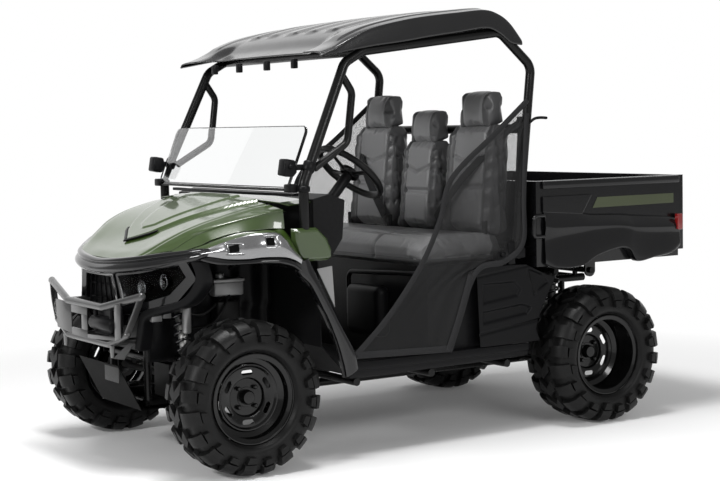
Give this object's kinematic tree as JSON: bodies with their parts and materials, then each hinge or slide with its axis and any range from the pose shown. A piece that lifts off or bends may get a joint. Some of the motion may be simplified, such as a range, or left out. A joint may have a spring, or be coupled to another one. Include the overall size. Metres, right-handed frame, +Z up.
{
  "type": "side by side utility vehicle",
  "caption": "Three-seat side-by-side utility vehicle with roll cage, hard roof, half windscreen, side nets and a tilting cargo bed with a drop tailgate.",
  "frame": {"origin": "on the ground, midway along and across the vehicle", "axes": "+X the vehicle's left, -Y its front, +Z up"},
  "size_m": [1.46, 2.834, 1.905],
  "materials": {
    "green_panel": "gloss olive green",
    "gloss_black": "gloss",
    "black_moulding": "fine grain",
    "black_steel": "satin powder coat",
    "bed_black": "satin",
    "skid_metal": "satin",
    "lamp_lens": "clear",
    "red_lens": "gloss red",
    "clear_screen": "clear",
    "seat_vinyl": "grained",
    "net_fabric": "woven mesh",
    "cast_metal": "as cast",
    "spring_steel": "satin",
    "wheel_black": "satin black",
    "tyre_rubber": "matt",
    "grip_black": "fine grain"
  },
  "bodies": {
    "chassis": {"frame": "black_steel", "floor": "black_moulding", "fascia": "black_moulding", "brow": "gloss_black", "grille": "black_moulding", "headlamps": "lamp_lens", "bumper": "black_steel", "skid_plate": "skid_metal", "radiator": "skid_metal", "cowl": "green_panel", "cowl_panels": "green_panel", "hood_hinges": "black_moulding", "front_fenders": "gloss_black", "roll_cage": "black_steel", "roof": "black_moulding", "windshield": "clear_screen", "lamp_blocks": "gloss_black", "dash": "black_moulding", "seat_base": "black_moulding", "seat_cushion": "seat_vinyl", "seatback_left": "seat_vinyl", "seatback_centre": "seat_vinyl", "seatback_right": "seat_vinyl", "headrests": "seat_vinyl", "rockers": "black_moulding", "side_panels": "black_moulding", "side_nets": "net_fabric", "steering_column": "black_steel", "steering_rack": "black_steel", "shift_lever": "black_moulding", "pedals": "black_moulding", "front_arms": "black_steel", "front_shocks": "spring_steel", "front_drive": "cast_metal", "rear_arms": "black_steel", "rear_carriers": "cast_metal", "rear_shocks": "spring_steel", "rear_drive": "cast_metal", "engine": "cast_metal", "muffler": "skid_metal", "hitch_receiver": "black_steel"},
    "hood": {"hood": "green_panel"},
    "cargo_bed": {"cargo_bed": "bed_black", "bed_fenders": "black_moulding", "tail_lamps": "red_lens", "gate_hinges": "black_steel"},
    "tailgate": {"tailgate": "bed_black"},
    "knuckle_left": {"knuckle_left": "cast_metal"},
    "knuckle_right": {"knuckle_right": "cast_metal"},
    "tie_rods": {"tie_rods": "cast_metal"},
    "wheel_front_left": {"rim_front_left": "wheel_black", "tyre_front_left": "tyre_rubber"},
    "wheel_front_right": {"rim_front_right": "wheel_black", "tyre_front_right": "tyre_rubber"},
    "wheel_rear_left": {"rim_rear_left": "wheel_black", "tyre_rear_left": "tyre_rubber"},
    "wheel_rear_right": {"rim_rear_right": "wheel_black", "tyre_rear_right": "tyre_rubber"},
    "steering_wheel": {"steering_wheel": "grip_black"}
  },
  "joints": [
    {"name": "steer_left", "type": "hinge", "parent": "chassis", "child": "knuckle_left", "pos_m": [0.56, -0.99, 0.316], "axis": [0, 0, 1], "range_deg": [-30, 30]},
    {"name": "steer_right", "type": "hinge", "parent": "chassis", "child": "knuckle_right", "pos_m": [-0.56, -0.99, 0.316], "axis": [0, 0, 1], "range_deg": [-30, 30]},
    {"name": "rack_slide", "type": "slide", "parent": "chassis", "child": "tie_rods", "axis": [1, 0, 0], "range_m": [-0.0505, 0.0505]},
    {"name": "steering_wheel_turn", "type": "hinge", "parent": "chassis", "child": "steering_wheel", "pos_m": [0.35, -0.284, 1.196], "axis": [0, 0.6691, 0.7431], "range_deg": [-272, 272]},
    {"name": "bed_tilt", "type": "hinge", "parent": "chassis", "child": "cargo_bed", "pos_m": [0, 1.15, 0.664], "axis": [-1, 0, 0], "range_deg": [0, 45]},
    {"name": "tailgate_drop", "type": "hinge", "parent": "cargo_bed", "child": "tailgate", "pos_m": [0, 1.4, 0.757], "axis": [-1, 0, 0], "range_deg": [0, 90]},
    {"name": "hood_lift", "type": "hinge", "parent": "chassis", "child": "hood", "pos_m": [0, -0.762, 1.076], "axis": [-1, 0, 0], "range_deg": [0, 55]},
    {"name": "wheel_front_left_spin", "type": "hinge", "parent": "knuckle_left", "child": "wheel_front_left", "pos_m": [0.6, -0.99, 0.316], "axis": [1, 0, 0], "continuous": true},
    {"name": "wheel_front_right_spin", "type": "hinge", "parent": "knuckle_right", "child": "wheel_front_right", "pos_m": [-0.6, -0.99, 0.316], "axis": [1, 0, 0], "continuous": true},
    {"name": "wheel_rear_left_spin", "type": "hinge", "parent": "chassis", "child": "wheel_rear_left", "pos_m": [0.6, 0.885, 0.316], "axis": [1, 0, 0], "continuous": true},
    {"name": "wheel_rear_right_spin", "type": "hinge", "parent": "chassis", "child": "wheel_rear_right", "pos_m": [-0.6, 0.885, 0.316], "axis": [1, 0, 0], "continuous": true}
  ],
  "couplings": [
    {"joint": "steer_right", "follows": "steer_left", "ratio": 1},
    {"joint": "rack_slide", "follows": "steer_left", "m_per_rad": -0.095},
    {"joint": "steering_wheel_turn", "follows": "steer_left", "ratio": 9}
  ]
}
